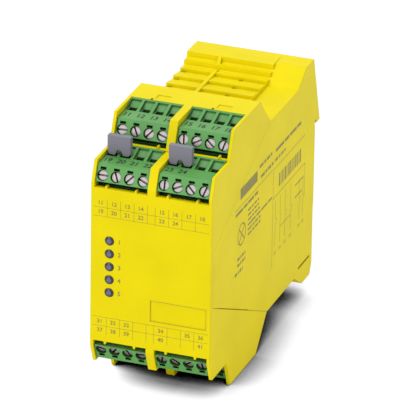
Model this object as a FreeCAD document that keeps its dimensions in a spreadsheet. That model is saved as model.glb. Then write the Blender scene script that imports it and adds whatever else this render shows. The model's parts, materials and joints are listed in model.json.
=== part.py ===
"""Safety relay: a 45 mm wide control module for a 35 mm mounting rail.

Frame: the origin is the centre of the rail where the module's back sits on it, +Y goes
into the rail, +Z is up and X is along the rail. Casings and boards are drawn with Y as
depth behind the front face, and the plugs in a frame of their own.
Units are millimetres and degrees.
"""
import FreeCAD, Part
import math
import os
import re

import Sketcher

os.makedirs("parts", exist_ok=True)
doc = FreeCAD.newDocument("safety_relay")

# ------------------------------------------------------------------ driving sizes
SIZES = {
    # casing, seen from the side: depths from the front face, heights from the middle
    "module_width": 45.0,
    "seat_depth": 109.5,        # front face to the rail
    "face_gap": 2.07,           # flat front to the plugs' lower edge
    "face_tilt": 22.0,          # lean of the terminal faces, from upright
    "first_shelf_half": 39.0,
    "first_shelf_depth": 3.0,
    "second_face_depth": 17.7,
    "shelf_rise": 10.5,         # second shelf over the first
    "ledge_play": 0.06,         # rear plugs to the ledge
    "crest_depth": 48.9,
    "valley_depth": 60.2,
    "deck_half": 37.4,
    "brow_foot_depth": 90.0,
    "brow_half": 42.9,
    "crown_depth": 106.8,
    "crown_flat": 8.3,
    "side_wall": 1.15,
    "front_wall": 2.0,
    "shell_wall": 1.7,
    "divider_width": 3.1,
    "seam_nose_depth": 2.9,
    "seam_nose_half": 11.0,
    "seam_gap": 0.08,
    "seam_groove": 0.4,         # wide part of the lower seam
    # rail hook and foot
    "rail_half": 17.5,
    "rail_flange": 1.0,
    "rail_play": 0.3,
    "seat_half": 15.8,          # half the height of the pad that bears on the rail
    "seat_relief": 0.5,         # how far the pad stands out of the back
    "hook_reach": 5.0,
    "hook_bite": 1.2,
    "back_low_half": 38.7,
    "heel_depth": 107.0,
    "heel_foot_depth": 98.5,
    "foot_width": 14.0,
    "foot_plate": 1.8,
    "foot_wing": 2.5,
    "foot_nose_height": 1.6,
    "foot_bite": 1.2,
    "foot_tail": 3.6,           # how far the foot shows below the casing
    "foot_play": 0.2,
    "channel_rise": 2.5,        # top of the foot's channel above the rail's lower edge
    "spring_wire": 0.6,
    "spring_width": 4.0,
    "spring_height": 11.0,
    "spring_turns": 5.0,
    "spring_gap": 0.1,
    "spring_shelf": 2.0,        # the foot's shelf on the spring
    # louvres of the deck
    "louvre_start": 67.1,
    "louvre_pitch": 7.3,
    "louvre_high": 2.0,
    "louvre_low": 0.8,
    "louvre_end": 10.7,         # right end of the louvres, from the middle
    "louvre_rib": -9.8,
    "rib_width": 1.4,
    "vent_width": 2.0,
    "vent_mid_width": 1.5,
    "vent_length": 1.1,
    "step_one_depth": 93.0,
    "step_one_half": 41.0,
    "step_two_depth": 96.0,
    "step_two_half": 43.1,
    # latch marks on the ledges and slots in the heel
    "latch_slit": 0.9,
    "latch_offset": 2.45,       # slit to the middle of its column
    "latch_length": 5.0,
    "latch_width": 3.6,
    "latch_depth": 0.3,
    "heel_slot_start": 94.0,
    "heel_slot_half": 34.6,
    "heel_slot_width": 1.0,
    # front face
    "lamp_hole": 3.5,
    "lamp_pitch": 5.0,
    "lamp_inset": 7.0,          # lamps' middles from the left flank
    "lamp_middle": -0.2,
    "lamp_dome": 0.5,
    "lamp_play": 0.1,
    "lamp_flange": 4.6,
    "lamp_flange_thick": 0.8,
    "field_left": 0.0,
    "field_right": 20.9,
    "field_top": -10.6,
    "field_bottom": -18.6,
    "field_depth": 0.25,
    "terrace_lip": 0.5,
    "tab_width": 1.2,
    "tab_height": 1.0,
    "tab_offset": 5.5,
    "second_tab_offset": 6.9,
    # plugs
    "pole_trim": 0.04,          # what a cell has less than four poles, in poles
    "plug_play": 0.15,
    "plug_depth": 14.2,
    "plug_rise": 2.0,
    "plug_set_back": 0.2,
    "plug_sink": 1.3,           # plug top under the first shelf
    "plug_sink_two": 2.1,
    "strip_depth": 6.8,
    "face_length": 6.5,
    "shoulder_drop": 8.0,
    "nose_drop": 16.2,
    "nose_front": 1.6,
    "nose_back": 12.6,
    "nose_inset": 0.6,
    "funnel_width": 3.9,
    "funnel_front": 7.0,
    "funnel_back": 13.4,
    "funnel_dip": 0.4,          # front of a funnel under the strip
    "wire_hole_width": 2.8,
    "wire_hole_front": 7.3,
    "wire_hole_back": 10.6,
    "chamber_front": 6.0,
    "chamber_back": 11.6,
    "chamber_top": 3.2,
    "chamber_bottom": 9.4,
    "contact_slot": 2.0,
    "contact_depth": 9.0,
    "test_slot_width": 2.2,
    "test_slot_height": 0.9,
    "test_slot_drop": 1.1,
    "test_slot_deep": 1.8,
    # terminal screws and clamps
    "screw_drop": 4.15,
    "screw_head": 3.4,
    "screw_head_height": 1.5,
    "screw_sink": 0.8,
    "screw_shank": 2.2,
    "screw_length": 8.6,
    "screw_slot": 0.7,
    "screw_slot_depth": 0.7,
    "bore_play": 0.3,
    "clamp_wall": 0.5,
    "clamp_play": 0.1,
    "tine_thick": 0.3,
    "tine_play": 0.1,
    "tine_reach": 14.8,
    # headers
    "header_wall": 0.8,
    "header_base": 1.5,
    "header_play": 0.2,
    "header_gap": 0.3,
    "pin_width": 1.0,
    "pin_top": 10.2,
    "pin_play": 0.05,
    "lead_step": 1.7,
    # insertion bridges
    "bridge_width": 8.6,
    "bridge_thick": 2.2,
    "bridge_top": 7.4,
    "bridge_arch": 2.4,
    "bridge_foot": 0.2,
    "bridge_leg": 2.2,
    "fork_thick": 0.8,
    "fork_width": 1.6,
    "fork_bar": 4.6,
    "fork_reach": 7.8,
    # boards and what they carry
    "board_thick": 1.5,
    "board_gap": 0.25,
    "board_back": 104.0,
    "lamp_board_depth": 7.0,
    "lamp_board_half": 16.5,
    "relay_length": 50.0,
    "relay_front": 45.0,
    "relay_side": 16.5,
    "relay_spacing": 21.0,
    "capacitor_width": 10.0,
    "capacitor_length": 16.0,
    "capacitor_depth": 74.0,
    "lamp_width": 3.0,
    "lamp_height": 1.2,
}

# sizes that follow from others, so that neighbours keep together
DERIVED = {
    "pole_pitch": "(module_width - 2*side_wall - divider_width)/(8 - 2*pole_trim)",
    "second_shelf_half": "(first_shelf_half + shelf_rise)",
    "ledge_depth": "(second_face_depth + shelf_rise*tan(face_tilt) + plug_set_back + plug_depth"
                   " + ledge_play)",
    "face_half": "(first_shelf_half - plug_sink - face_length*cos(face_tilt) - face_gap)",
    "brow_top_depth": "(crown_depth - crown_flat)",
    "lamp_across": "(lamp_inset - module_width/2)",
}

sheet = doc.addObject("Spreadsheet::Sheet", "dims")
for row, (alias, number) in enumerate(SIZES.items(), 1):
    sheet.set(f"A{row}", alias)
    sheet.set(f"B{row}", str(number))
    sheet.setAlias(f"B{row}", alias)
doc.recompute()

NODES = []
ALIAS = re.compile(r"\b(" + "|".join(sorted(SIZES, key=len, reverse=True)) + r")\b")
FOLLOWER = re.compile(r"\b(" + "|".join(DERIVED) + r")\b")
Vector = FreeCAD.Vector


def written_out(text):
    """The expression with each derived size replaced by the sizes that it follows from."""
    while FOLLOWER.search(text):
        text = FOLLOWER.sub(lambda found: DERIVED[found.group(1)], text)
    return text


def linked(text):
    """The expression with each size's name led back to the sheet."""
    return ALIAS.sub(r"dims.\1", written_out(text))


def worth(text):
    """The present value of an expression of sizes."""
    return float(sheet.evalExpression(written_out(text)))


# ------------------------------------------------------------------ drawing helpers
def new_body(name, across=0.0, depth=0.0, height=0.0, upside_down=False):
    """An empty body placed in the module: depth counts from the front face."""
    body = doc.addObject("PartDesign::Body", name)
    body.Label = name
    body.AllowCompound = True
    turn = FreeCAD.Rotation(Vector(0, 1, 0), 180 if upside_down else 0)
    seat = Vector(across, depth - worth("seat_depth"), height)
    body.Placement = FreeCAD.Placement(seat, turn)
    NODES.append(body)
    return body


def new_sketch(body, name, plane, offset="0"):
    """A sketch on one of the body's own origin planes, moved along its normal."""
    sketch = body.newObject("Sketcher::SketchObject", name)
    support = [part for part in body.Origin.OriginFeatures if part.Role == plane]
    sketch.AttachmentSupport = [(support[0], "")]
    sketch.MapMode = "FlatFace"
    sketch.setExpression("AttachmentOffset.Base.z", linked(offset))
    return sketch


def pin_point(sketch, geometry, end, point):
    """Hold one end of a line at a point given by two expressions."""
    for kind, text in zip(("DistanceX", "DistanceY"), point):
        number = sketch.addConstraint(Sketcher.Constraint(kind, -1, 1, geometry, end, worth(text)))
        sketch.setExpression(f"Constraints[{number}]", linked(text))


def draw_polygon(sketch, points):
    """A closed outline through points, each a pair of expressions."""
    corners = [Vector(worth(a), worth(b), 0) for a, b in points]
    first = sketch.GeometryCount
    count = len(points)
    for index in range(count):
        sketch.addGeometry(Part.LineSegment(corners[index], corners[(index + 1) % count]), False)
    for index in range(count):
        following = first + (index + 1) % count
        sketch.addConstraint(Sketcher.Constraint("Coincident", first + index, 2, following, 1))
        pin_point(sketch, first + index, 1, points[index])


def draw_rectangle(sketch, left, low, right, high):
    draw_polygon(sketch, [(left, low), (right, low), (right, high), (left, high)])


def draw_circle(sketch, across, up, diameter):
    centre = Vector(worth(across), worth(up), 0)
    circle = sketch.addGeometry(Part.Circle(centre, Vector(0, 0, 1), worth(diameter) / 2), False)
    pin_point(sketch, circle, 3, (across, up))
    number = sketch.addConstraint(Sketcher.Constraint("Diameter", circle, worth(diameter)))
    sketch.setExpression(f"Constraints[{number}]", linked(diameter))


def draw_axis(sketch, start, end):
    """A construction line to revolve about."""
    points = [Vector(worth(a), worth(b), 0) for a, b in (start, end)]
    line = sketch.addGeometry(Part.LineSegment(*points), True)
    pin_point(sketch, line, 1, start)
    pin_point(sketch, line, 2, end)


def extrude(body, kind, sketch, length, symmetric=False, reverse=False):
    """A Pad or a Pocket of the sketch."""
    feature = body.newObject(f"PartDesign::{kind}", f"{sketch.Name}_{kind.lower()}")
    feature.Profile = sketch
    feature.setExpression("Length", linked(length))
    feature.SideType = "Symmetric" if symmetric else "One side"
    feature.Reversed = reverse
    body.Tip = feature
    return feature


def pad(body, name, plane, length, *outlines, offset="0", symmetric=True, reverse=False):
    sketch = new_sketch(body, name, plane, offset)
    for points in outlines:
        draw_polygon(sketch, points)
    return extrude(body, "Pad", sketch, length, symmetric, reverse)


def pocket(body, name, plane, length, *outlines, offset="0", symmetric=True, reverse=False):
    sketch = new_sketch(body, name, plane, offset)
    for points in outlines:
        draw_polygon(sketch, points)
    return extrude(body, "Pocket", sketch, length, symmetric, reverse)


def repeat(body, features, axis, length, count):
    """The features repeated in a line along one of the body's axes."""
    pattern = body.newObject("PartDesign::LinearPattern", f"{body.Name}_row")
    pattern.Originals = features
    line = [part for part in body.Origin.OriginFeatures if part.Role == axis]
    pattern.Direction = (line[0], [""])
    pattern.setExpression("Length", linked(length))
    pattern.Occurrences = count
    body.Tip = pattern
    return pattern


def mirror_down(body, features):
    """The features again on the other side of the middle plane."""
    mirror = body.newObject("PartDesign::Mirrored", f"{body.Name}_mirror")
    mirror.Originals = features
    plane = [part for part in body.Origin.OriginFeatures if part.Role == "XY_Plane"]
    mirror.MirrorPlane = (plane[0], [""])
    body.Tip = mirror
    return mirror


def rectangle(left, low, right, high):
    return [(left, low), (right, low), (right, high), (left, high)]


def both_halves(points):
    """An outline from its upper half, listed from front to back."""
    return points + [(depth, f"-({height})") for depth, height in reversed(points)]


def flipped(points):
    """The same outline below the middle."""
    return [(depth, f"-({height})") for depth, height in reversed(points)]


# ------------------------------------------------------------------ derived places
FAR = "200"                                     # past any face of the module
INNER_WIDTH = "module_width - 2*side_wall"
CELL_WIDTH = "(module_width - 2*side_wall - divider_width)/2"
PLUG_WIDTH = "(module_width - 2*side_wall - divider_width)/2 - 2*plug_play"
COLUMN = "(module_width - 2*side_wall + divider_width)/4"   # middle of a plug column
CHEEK_HALF = "first_shelf_half - first_shelf_depth/tan(face_tilt)"
SECOND_SHELF_DEPTH = "second_face_depth + (second_shelf_half - first_shelf_half)*tan(face_tilt)"
HOOK_TIP = "rail_half - hook_bite"
GROOVE_TOP = "rail_half + rail_play"
GROOVE_BACK = "seat_depth + rail_flange + rail_play"
BACK = "seat_depth - seat_relief"                # back wall beside the seat pad
FACE_DROP = "face_length*cos(face_tilt)"
FACE_RUN = "face_length*sin(face_tilt)"
BOARD_IN = "(module_width - 2*side_wall)/2 - board_gap - board_thick"   # inner face of a board
BOARD_FACE = f"{BOARD_IN} - {COLUMN}"                                   # the same from a column's middle
TERRACE_EDGE = "first_shelf_half + terrace_lip"
PLUG_FLOOR = "nose_drop + header_play + header_base"        # from a plug's top to its header's foot
CELL_FLOOR = f"first_shelf_half - plug_sink - ({PLUG_FLOOR})"
SECOND_CELL_FLOOR = f"second_shelf_half - plug_sink_two - ({PLUG_FLOOR})"
POLES = 4
SEAM_START, SEAM_END = 0.08, 0.64             # the groove, as shares of the seam

TERMINAL_STEPS = [
    ("0", CHEEK_HALF),
    ("first_shelf_depth", "first_shelf_half"),
    ("second_face_depth", "first_shelf_half"),
    (SECOND_SHELF_DEPTH, "second_shelf_half"),
]


# ------------------------------------------------------------------ casings
def make_front_housing():
    """Front shell: face, stepped cheeks, cells for the plugs, ledges and crests."""
    body = new_body("front_housing")
    seam = [("valley_depth", "deck_half"), ("seam_nose_depth", "seam_nose_half")]
    pad(body, "cheeks", "YZ_Plane", "module_width",
        both_halves(TERMINAL_STEPS + [("crest_depth", "second_shelf_half")] + seam))

    inside_crest = [
        ("-1", "face_half"),
        ("-1", FAR),
        ("ledge_depth", FAR),
        ("ledge_depth", SECOND_CELL_FLOOR),
        ("ledge_depth + shell_wall", SECOND_CELL_FLOOR),
        ("ledge_depth + shell_wall", "second_shelf_half - shell_wall"),
        ("crest_depth - shell_wall/2", "second_shelf_half - shell_wall"),
        ("valley_depth - shell_wall/2", "deck_half - shell_wall"),
        (FAR, "deck_half - shell_wall"),
    ]
    pocket(body, "hollow", "YZ_Plane", INNER_WIDTH,
           both_halves([("front_wall", "face_half")] + inside_crest))

    terrace = rectangle("second_face_depth", CELL_FLOOR,
                        "second_face_depth + shell_wall", TERRACE_EDGE)
    pad(body, "terraces", "YZ_Plane", INNER_WIDTH, terrace, flipped(terrace))
    fin = ([("0", CELL_FLOOR)] + TERMINAL_STEPS
           + [("ledge_depth", "second_shelf_half"), ("ledge_depth", CELL_FLOOR)])
    pad(body, "dividers", "YZ_Plane", "divider_width", fin, flipped(fin))

    tabs = [make_tabs(body, "front_tabs", "0", "face_half", "front_wall", "tab_offset"),
            make_tabs(body, "terrace_tabs", "second_face_depth", TERRACE_EDGE, "shell_wall",
                      "second_tab_offset")]
    mirror_down(body, tabs)

    slits, marks = [], []
    for column in (f"-({COLUMN})", COLUMN):
        slit = f"{column} - latch_offset"
        slits.append(rectangle(f"{slit} - latch_slit/2", "ledge_depth", f"{slit} + latch_slit/2",
                               "ledge_depth + 1.5*latch_slit"))
        marks.append(rectangle(f"{slit} + latch_slit", "ledge_depth + 1.5*latch_slit",
                               f"{slit} + latch_slit + latch_length",
                               "ledge_depth + 1.5*latch_slit + latch_width"))
    top = "second_shelf_half"
    latches = [pocket(body, "latch_slits", "XY_Plane", "2*shell_wall", *slits, offset=top,
                      symmetric=False),
               pocket(body, "latch_marks", "XY_Plane", "latch_depth", *marks, offset=top,
                      symmetric=False)]
    mirror_down(body, latches)

    lamp = new_sketch(body, "lamp_hole", "XZ_Plane")
    draw_circle(lamp, "lamp_across", "lamp_middle - 2*lamp_pitch", "lamp_hole")
    hole = extrude(body, "Pocket", lamp, "front_wall + 1")
    repeat(body, [hole], "Z_Axis", "4*lamp_pitch", 5)
    pocket(body, "writing_field", "XZ_Plane", "field_depth",
           rectangle("field_left", "field_bottom", "field_right", "field_top"),
           symmetric=False)
    return body


def make_tabs(body, name, depth, edge, thickness, spread):
    """Small keys on the edge under each plug."""
    outlines = []
    for side in ("-", ""):
        for hand in ("-", "+"):
            middle = f"{side}({COLUMN}) {hand} {spread}"
            outlines.append([
                (f"{middle} - tab_width/2", f"{edge} - tab_height/2"),
                (f"{middle} + tab_width/2", f"{edge} - tab_height/2"),
                (f"{middle} + tab_width/4", f"{edge} + tab_height"),
                (f"{middle} - tab_width/4", f"{edge} + tab_height"),
            ])
    return pad(body, name, "XZ_Plane", thickness, *outlines, offset=f"-({depth})",
               symmetric=False, reverse=True)


def make_rear_housing():
    """Rear shell: wedge-shaped flanks, louvred decks, back wall, hook and foot channel."""
    body = new_body("rear_housing")
    nose = ("seam_nose_depth + seam_gap", "seam_nose_half - seam_gap")
    upper = [
        nose,
        ("valley_depth + seam_gap", "deck_half - seam_gap"),
        ("valley_depth + seam_gap", "deck_half"),
        ("brow_foot_depth", "deck_half"),
        ("brow_top_depth", "brow_half"),
        ("crown_depth", "brow_half"),
    ]
    hook = [
        ("seat_depth + hook_reach", HOOK_TIP),
        (GROOVE_BACK, HOOK_TIP),
        (GROOVE_BACK, GROOVE_TOP),
        (BACK, GROOVE_TOP),
        (BACK, "seat_half"),
        ("seat_depth", "seat_half"),
    ]
    lower = [
        ("seat_depth", "-seat_half"),
        (BACK, "-seat_half"),
        (BACK, "-back_low_half"),
        ("heel_depth", "-brow_half"),
        ("heel_foot_depth", "-brow_half"),
        ("brow_foot_depth", "-deck_half"),
        ("valley_depth + seam_gap", "-deck_half"),
        ("valley_depth + seam_gap", "-(deck_half - seam_gap)"),
        ("seam_nose_depth + seam_gap", "-(seam_nose_half - seam_gap)"),
    ]
    pad(body, "flanks", "YZ_Plane", "module_width", upper + hook + lower)
    pocket(body, "hollow_rear", "YZ_Plane", INNER_WIDTH, [
        ("0", "deck_half - shell_wall"),
        ("brow_foot_depth + shell_wall/3", "deck_half - shell_wall"),
        ("brow_top_depth + shell_wall/3", "brow_half - shell_wall"),
        ("crown_depth - shell_wall", "brow_half - shell_wall"),
        ("seat_depth + hook_reach - 2.2*shell_wall", f"{GROOVE_TOP} + shell_wall"),
        ("seat_depth - shell_wall", f"{GROOVE_TOP} + shell_wall"),
        ("seat_depth - shell_wall", "-(back_low_half - shell_wall/2)"),
        ("heel_depth - shell_wall/2", "-(brow_half - shell_wall)"),
        ("heel_foot_depth + shell_wall/3", "-(brow_half - shell_wall)"),
        ("brow_foot_depth + shell_wall/3", "-(deck_half - shell_wall)"),
        ("0", "-(deck_half - shell_wall)"),
    ])

    teeth = []
    for row in range(4):
        start = f"louvre_start + {row}*louvre_pitch"
        teeth += [(start, "deck_half + louvre_low"), (start, "deck_half + louvre_high")]
    block = ([("louvre_start", "deck_half - 0.5")] + teeth[1:] + [
        ("step_one_depth", "deck_half + louvre_low + 0.6"),
        ("step_one_depth", "step_one_half"),
        ("step_two_depth", "step_one_half - 0.3"),
        ("step_two_depth", "step_two_half"),
        ("brow_top_depth + 2", "step_two_half"),
        ("crown_depth - 1", "brow_half"),
        ("crown_depth - 1", "brow_half - 0.5"),
        ("brow_top_depth + 1", "brow_half - 0.5"),
        ("brow_foot_depth + 1", "deck_half - 0.5"),
    ])
    louvres = pad(body, "louvres", "YZ_Plane", "module_width/2 + louvre_end", block,
                  offset="-module_width/2", symmetric=False)
    rib = pad(body, "louvre_ribs", "YZ_Plane", "rib_width", [
        ("louvre_start", "deck_half - 0.5"),
        ("louvre_start", "deck_half + louvre_high"),
        ("step_one_depth", "deck_half + louvre_high"),
        ("step_two_depth", "step_two_half"),
        ("crown_depth - 2", "brow_half"),
        ("brow_top_depth + 1", "brow_half - 0.5"),
        ("brow_foot_depth + 1", "deck_half - 0.5"),
    ], offset="louvre_rib")
    mirror_down(body, [louvres, rib])

    outer = "-module_width/2 + side_wall/2"
    vents = pocket(body, "vents", "XY_Plane", FAR,
                   rectangle(outer, "louvre_start + louvre_pitch - vent_length",
                             f"{outer} + vent_width", "louvre_start + louvre_pitch"),
                   rectangle("1 - vent_mid_width/2", "louvre_start + louvre_pitch - vent_length",
                             "1 + vent_mid_width/2", "louvre_start + louvre_pitch"))
    repeat(body, [vents], "Y_Axis", "2*louvre_pitch", 3)

    for side in ("", "-"):
        seam_groove(body, f"lower_seam_{'left' if side else 'right'}", f"{side}module_width/2")
    pocket(body, "heel_slots", "YZ_Plane", FAR,
           rectangle("heel_slot_start", "-heel_slot_half - heel_slot_width",
                     f"{BACK} - shell_wall - heel_slot_width", "-heel_slot_half"))

    pocket(body, "foot_channel", "XZ_Plane", FAR,
           rectangle("-foot_width/2 - foot_play", f"-{FAR}",
                     "foot_width/2 + foot_play", "-(rail_half - channel_rise)"),
           offset="-(seat_depth - shell_wall)", symmetric=False, reverse=False)
    pocket(body, "wing_channel", "XY_Plane", FAR,
           rectangle("-foot_width/2 - foot_wing - foot_play",
                     "seat_depth - shell_wall - foot_plate - foot_play",
                     "foot_width/2 + foot_wing + foot_play", "seat_depth - shell_wall"),
           offset="-back_low_half + shell_wall/2", symmetric=False)
    return body


def seam_groove(body, name, face):
    """Wide part of the lower seam, along the flank's wedge."""
    start, end = [(f"seam_nose_depth + {part}*(valley_depth - seam_nose_depth)",
                   f"-(seam_nose_half + {part}*(deck_half - seam_nose_half))")
                  for part in (SEAM_START, SEAM_END)]
    pocket(body, name, "YZ_Plane", "2*seam_groove", [
        start, end, (end[0], f"{end[1]} + seam_groove"), (start[0], f"{start[1]} + seam_groove")],
        offset=face)


# ------------------------------------------------------------------ terminal plugs
POLE_PLACES = [f"({pole} - 1.5)*pole_pitch" for pole in range(POLES)]


def plug_seats():
    """Name, sheet place and side of each of the eight plugs."""
    for end, down in (("top", False), ("bottom", True)):
        for level in ("front", "rear"):
            for hand, side in (("left", -1), ("right", 1)):
                depth, half, sink = (("first_shelf_depth", "first_shelf_half", "plug_sink")
                                     if level == "front" else
                                     (SECOND_SHELF_DEPTH, "second_shelf_half", "plug_sink_two"))
                height = worth(half) - worth(sink)
                yield (f"{end}_{level}_{hand}",
                       {"across": side * worth(COLUMN),
                        "depth": worth(depth) + worth("plug_set_back"),
                        "height": -height if down else height,
                        "upside_down": down},
                       -side if down else side)


def make_plug(name, seat):
    """Green terminal plug: slanted screw face, marking strip, funnels and a nose that plugs in."""
    body = new_body(f"plug_{name}", **seat)
    pad(body, f"{name}_block", "YZ_Plane", PLUG_WIDTH, [
        ("0", "0"),
        ("strip_depth", "0"),
        ("plug_depth", "plug_rise"),
        ("plug_depth", "-shoulder_drop"),
        ("nose_back", "-shoulder_drop"),
        ("nose_front", "-shoulder_drop"),
        (f"-{FACE_RUN}", f"-{FACE_DROP}"),
    ])
    pad(body, f"{name}_nose", "YZ_Plane", f"{PLUG_WIDTH} - 2*nose_inset",
        rectangle("nose_front", "-nose_drop", "nose_back", "-shoulder_drop + 0.5"))

    first = POLE_PLACES[0]
    funnel = pocket(body, f"{name}_funnel", "YZ_Plane", "funnel_width", [
        ("funnel_front", "plug_rise + 1"),
        ("funnel_front", "-funnel_dip"),
        ("wire_hole_back", "-funnel_dip"),
        ("funnel_back", "plug_rise/2"),
        ("funnel_back", "plug_rise + 1"),
    ], offset=first)
    wire_hole = pocket(body, f"{name}_wire_hole", "YZ_Plane", "wire_hole_width",
                       rectangle("wire_hole_front", "-chamber_top - 0.5", "wire_hole_back", "0"),
                       offset=first)
    chamber = pocket(body, f"{name}_chamber", "YZ_Plane", "funnel_width",
                     rectangle("chamber_front", "-chamber_bottom", "chamber_back", "-chamber_top"),
                     offset=first)
    contact = pocket(body, f"{name}_contact", "YZ_Plane", "contact_slot",
                     rectangle("contact_depth - contact_slot/2", "-nose_drop - 1",
                               "contact_depth + contact_slot/2", "-chamber_bottom + 0.5"),
                     offset=first)
    test_slot = pocket(body, f"{name}_test_slot", "YZ_Plane", "test_slot_width",
                       rectangle(f"-{FACE_RUN}", "-test_slot_drop - test_slot_height",
                                 "test_slot_deep", "-test_slot_drop"),
                       offset=first)
    bore = new_sketch(body, f"{name}_bore", "YZ_Plane", first)
    wide = "screw_head/2 + bore_play"
    narrow = "screw_shank/2 + bore_play"
    head_floor = "screw_sink + screw_head_height + bore_play"
    draw_polygon(bore, [screw_point("-1", "0"), screw_point("-1", wide),
                        screw_point(head_floor, wide), screw_point(head_floor, "0")])
    draw_axis(bore, screw_point("-1", "0"), screw_point(head_floor, "0"))
    groove = body.newObject("PartDesign::Groove", f"{name}_screw_bore")
    groove.Profile = bore
    groove.ReferenceAxis = (bore, ["Axis0"])
    groove.Angle = 360
    body.Tip = groove
    screw_way = pocket(body, f"{name}_screw_way", "YZ_Plane", f"2*({narrow})", [
        screw_point("screw_sink", f"-({narrow})"),
        screw_point("screw_length", f"-({narrow})"),
        screw_point("screw_length", narrow),
        screw_point("screw_sink", narrow),
    ], offset=first)
    repeat(body, [funnel, wire_hole, chamber, contact, test_slot, groove, screw_way], "X_Axis",
           f"{POLES - 1}*pole_pitch", POLES)
    return body


def screw_point(along, out):
    """A point by its distance in from the slanted face along the screw, and out from its axis."""
    return (f"-screw_drop*sin(face_tilt) + ({along})*cos(face_tilt) + ({out})*sin(face_tilt)",
            f"-screw_drop*cos(face_tilt) - ({along})*sin(face_tilt) + ({out})*cos(face_tilt)")


def make_screws(name, seat, number):
    """Four slotted screws, each stopped at its own angle."""
    tilt = worth("face_tilt")
    seated = new_body_placement(seat)
    screws = []
    for pole, place in enumerate(POLE_PLACES):
        tag = f"{name}_{pole}"
        head = doc.addObject("Part::Cylinder", f"head_{tag}")
        head.setExpression("Radius", linked("screw_head/2"))
        head.setExpression("Height", linked("screw_head_height"))
        shank = doc.addObject("Part::Cylinder", f"shank_{tag}")
        shank.setExpression("Radius", linked("screw_shank/2"))
        shank.setExpression("Height", linked("screw_length - screw_sink - bore_play"))
        slot = doc.addObject("Part::Box", f"slot_{tag}")
        slot.setExpression("Length", linked("screw_head + 1"))
        slot.setExpression("Width", linked("screw_slot"))
        slot.setExpression("Height", linked("screw_slot_depth + 1"))
        slot.setExpression("Placement.Base.x", linked("-(screw_head + 1)/2"))
        slot.setExpression("Placement.Base.y", linked("-screw_slot/2"))
        slot.setExpression("Placement.Base.z", linked("-1"))
        solid = doc.addObject("Part::Fuse", f"blank_{tag}")
        solid.Base = head
        solid.Tool = shank
        screw = doc.addObject("Part::Cut", f"screw_{tag}")
        screw.Base = solid
        screw.Tool = slot
        point = [worth(part) for part in screw_point("screw_sink", "0")]
        spin = FreeCAD.Rotation(Vector(0, 0, 1), (number * POLES + pole) * 67 % 180)
        lean = FreeCAD.Rotation(Vector(1, 0, 0), -90 - tilt)
        screw.Placement = seated * FreeCAD.Placement(Vector(worth(place), *point), lean * spin)
        screws.append(screw)
    return new_group(f"screws_{name}", screws)


def new_body_placement(seat):
    turn = FreeCAD.Rotation(Vector(0, 1, 0), 180 if seat["upside_down"] else 0)
    return FreeCAD.Placement(Vector(seat["across"], seat["depth"] - worth("seat_depth"), seat["height"]), turn)


def new_group(name, members):
    """One node of several separate solids."""
    group = doc.addObject("Part::Compound", name)
    group.Label = name
    group.Links = members
    NODES.append(group)
    return group


def make_clamps(name, seat):
    """Four wire clamps, each a yoke round the wire and two tines that grip a pin."""
    body = new_body(f"clamps_{name}", **seat)
    middle = POLE_PLACES[0]
    out = "funnel_width/2 - clamp_play"
    front = "chamber_front + clamp_play"
    back = "chamber_back - clamp_play"
    low = "-chamber_bottom + clamp_play"
    yoke = pad(body, f"{name}_yoke", "XY_Plane", "chamber_bottom - chamber_top - 2*clamp_play", [
        (f"{middle} - ({out})", front),
        (f"{middle} - ({out}) + clamp_wall", front),
        (f"{middle} - ({out}) + clamp_wall", f"{back} - clamp_wall"),
        (f"{middle} + ({out}) - clamp_wall", f"{back} - clamp_wall"),
        (f"{middle} + ({out}) - clamp_wall", front),
        (f"{middle} + ({out})", front),
        (f"{middle} + ({out})", back),
        (f"{middle} - ({out})", back),
    ], offset=low, symmetric=False)
    half_pin = "pin_width/2 + tine_play"
    tines = [rectangle(f"{middle} {a}", "contact_depth - pin_width/2 - tine_play",
                       f"{middle} {b}", f"{back} - clamp_wall/2")
             for a, b in ((f"- ({half_pin}) - tine_thick", f"- ({half_pin})"),
                          (f"+ {half_pin}", f"+ {half_pin} + tine_thick"))]
    reach = pad(body, f"{name}_tines", "XY_Plane", "clamp_wall", *tines, offset=low, symmetric=False)
    legs = [rectangle(f"{middle} {a}", "contact_depth - pin_width/2 - tine_play",
                      f"{middle} {b}", "contact_depth + pin_width/2 + tine_play")
            for a, b in ((f"- ({half_pin}) - tine_thick", f"- ({half_pin})"),
                         (f"+ {half_pin}", f"+ {half_pin} + tine_thick"))]
    prongs = pad(body, f"{name}_prongs", "XY_Plane", "tine_reach - chamber_bottom + clamp_wall", *legs,
                 offset=f"{low} + clamp_wall/2", symmetric=False, reverse=True)
    repeat(body, [yoke, reach, prongs], "X_Axis", f"{POLES - 1}*pole_pitch", POLES)
    return body


def make_header(name, seat):
    """Green socket on the boards' edge that takes the plug's nose."""
    body = new_body(f"header_{name}", **seat)
    rim = "-(shoulder_drop + header_gap)"
    floor = "-(nose_drop + header_play)"
    front = "nose_front - header_play - header_wall"
    back = "nose_back + header_play + header_wall"
    pad(body, f"{name}_socket", "YZ_Plane", PLUG_WIDTH,
        rectangle(front, f"{floor} - header_base", back, rim))
    pocket(body, f"{name}_mouth", "YZ_Plane", f"{PLUG_WIDTH} - 2*nose_inset + 2*header_play",
           rectangle(f"{front} + header_wall", floor, f"{back} - header_wall", f"{rim} + 1"))
    hole = pocket(body, f"{name}_pin_hole", "YZ_Plane", "pin_width + 2*pin_play",
                  rectangle("contact_depth - pin_width/2 - pin_play", f"{floor} - header_base - 1",
                            "contact_depth + pin_width/2 + pin_play", f"{floor} + 1"),
                  offset=POLE_PLACES[0])
    repeat(body, [hole], "X_Axis", f"{POLES - 1}*pole_pitch", POLES)
    return body


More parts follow.
